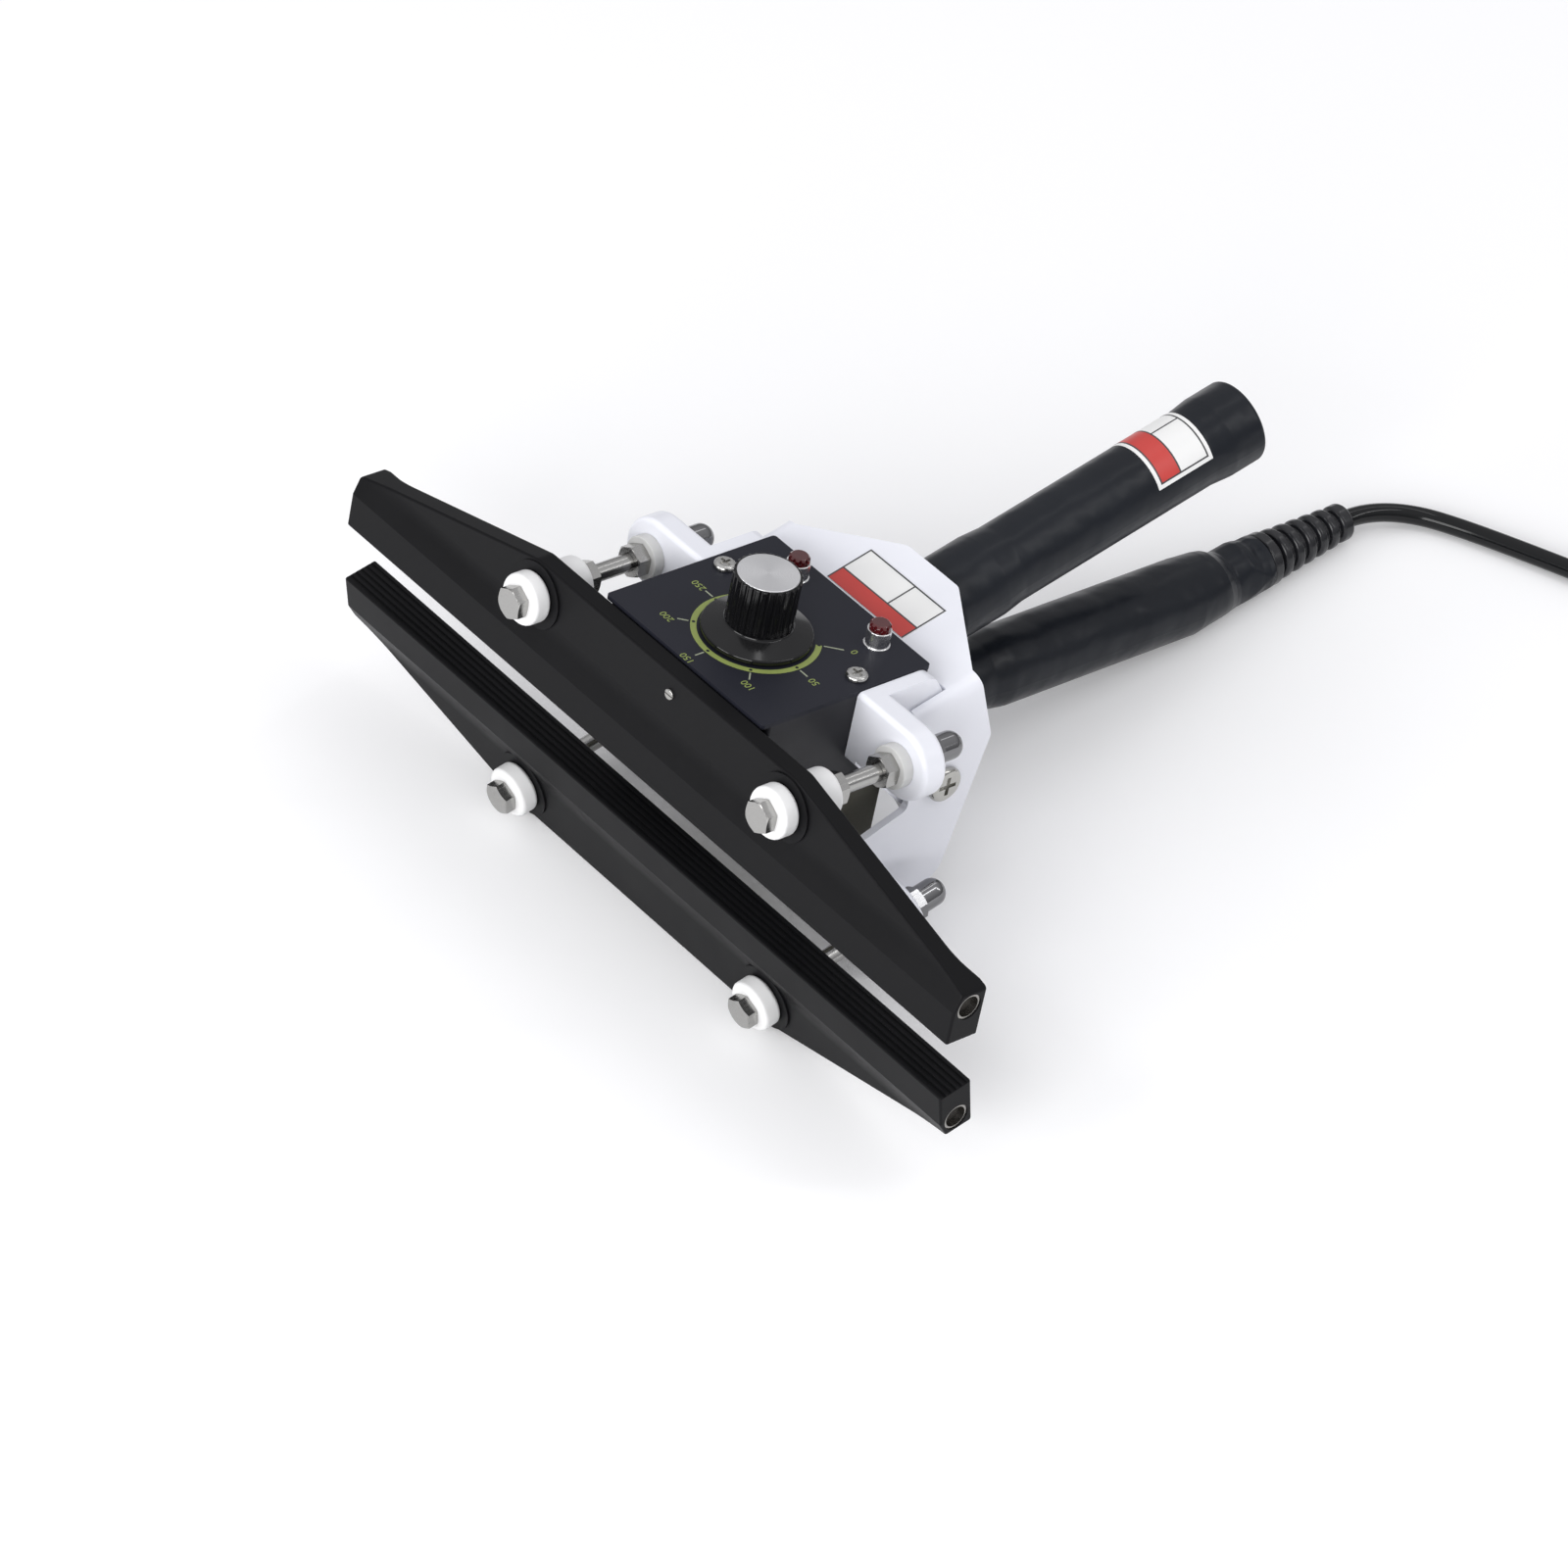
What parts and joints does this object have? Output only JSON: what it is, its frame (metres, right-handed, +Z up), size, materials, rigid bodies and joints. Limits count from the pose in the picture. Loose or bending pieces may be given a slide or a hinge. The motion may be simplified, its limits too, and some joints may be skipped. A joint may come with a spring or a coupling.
{
  "type": "hand-held impulse heat sealer",
  "caption": "Pliers-type bag sealer: ribbed heated jaws on crossed levers, control box with dial and lamps, round sleeved grips, supply cord with plug.",
  "frame": {"origin": "middle of the tool's footprint at floor level, cord left out, with the tool standing on the lower jaw's outer edge and the lower grip", "axes": "+X along the jaws, +Y from the jaws towards the grips, +Z up"},
  "size_m": [0.4095, 0.4732, 0.123],
  "materials": {
    "jaw_coating": "black baked non-stick coating on extruded aluminium",
    "white_paint": "white powder coat, satin",
    "panel_black": "matt black panel film",
    "case_black": "matt black paint",
    "zinc_plate": "yellow-grey zinc plate",
    "stainless": "turned stainless steel",
    "screw_steel": "nickel-plated steel",
    "white_bush": "white heat-proof polymer",
    "grey_washer": "pale grey fibre",
    "heater_ceramic": "brown fired ceramic",
    "lead_sleeve": "pale woven glass sleeve",
    "knob_black": "gloss black",
    "knob_metal": "spun aluminium",
    "lamp_chrome": "bright chrome",
    "lamp_red": "dark red clear plastic",
    "board_green": "green board lacquer",
    "brass_post": "plain brass",
    "part_black": "moulded black",
    "terminal_green": "moulded green",
    "sink_aluminium": "plain extruded",
    "spring_steel": "oiled spring wire",
    "tube_steel": "bright drawn tube",
    "grip_sleeve": "black shrink sleeve, satin",
    "end_plug": "moulded black",
    "label_white": "blank white sticker",
    "cord_black": "black cord jacket",
    "relief_black": "black moulded rubber",
    "tie_black": "black strap",
    "plug_black": "moulded black",
    "pin_metal": "nickel-plated brass"
  },
  "bodies": {
    "control_lever": {"board_standoffs": "brass_post", "chassis_tray": "zinc_plate", "circuit_board": "board_green", "coil_tie": "tie_black", "control_case": "case_black", "control_panel": "panel_black", "cord_coil": "cord_black", "cord_lead": "cord_black", "cord_tail": "cord_black", "heat_sink": "sink_aluminium", "inner_yoke": "white_paint", "lamp_bezels": "lamp_chrome", "lamp_lenses": "lamp_red", "lower_grip": "grip_sleeve", "lower_handle_tube": "tube_steel", "panel_screws": "screw_steel", "pivot_nuts": "screw_steel", "pivot_screws": "screw_steel", "pivot_washers": "screw_steel", "plug_body": "plug_black", "plug_pins": "pin_metal", "potentiometer": "screw_steel", "potentiometer_nut": "screw_steel", "return_spring": "spring_steel", "sensor_screw": "screw_steel", "strain_relief": "relief_black", "terminal_block": "terminal_green", "triac": "part_black", "upper_dome_nuts": "stainless", "upper_ear_nuts": "stainless", "upper_ear_washers": "grey_washer", "upper_front_bushes": "white_bush", "upper_heater_core": "heater_ceramic", "upper_heater_leads": "lead_sleeve", "upper_heater_sheath": "stainless", "upper_jaw": "jaw_coating", "upper_jaw_bolts": "stainless", "upper_jaw_nuts": "stainless", "upper_rear_bushes": "white_bush"},
    "grip_lever": {"lower_jaw": "jaw_coating", "lower_heater_sheath": "stainless", "lower_heater_core": "heater_ceramic", "outer_yoke": "white_paint", "label_plate": "label_white", "upper_handle_tube": "tube_steel", "upper_grip": "grip_sleeve", "upper_end_plug": "end_plug", "lower_jaw_bolts": "stainless", "lower_jaw_nuts": "stainless", "lower_ear_nuts": "stainless", "lower_dome_nuts": "stainless", "lower_front_bushes": "white_bush", "lower_rear_bushes": "white_bush", "lower_ear_washers": "grey_washer"},
    "dial": {"dial_knob": "knob_black", "knob_cap": "knob_metal", "potentiometer_shaft": "sink_aluminium"}
  },
  "joints": [
    {"name": "squeeze", "type": "hinge", "parent": "control_lever", "child": "grip_lever", "pos_m": [0, -0.04479, 0.04849], "axis": [-1, 0, 0], "range_deg": [0, 14.5], "stiffness_Nm_per_rad": 11, "springref_deg": -7.79, "deforming": ["return_spring"]},
    {"name": "dial_turn", "type": "hinge", "parent": "control_lever", "child": "dial", "pos_m": [0, -0.08342, 0.09809], "axis": [0, 0.1724, 0.985], "range_deg": [-140, 140]}
  ]
}
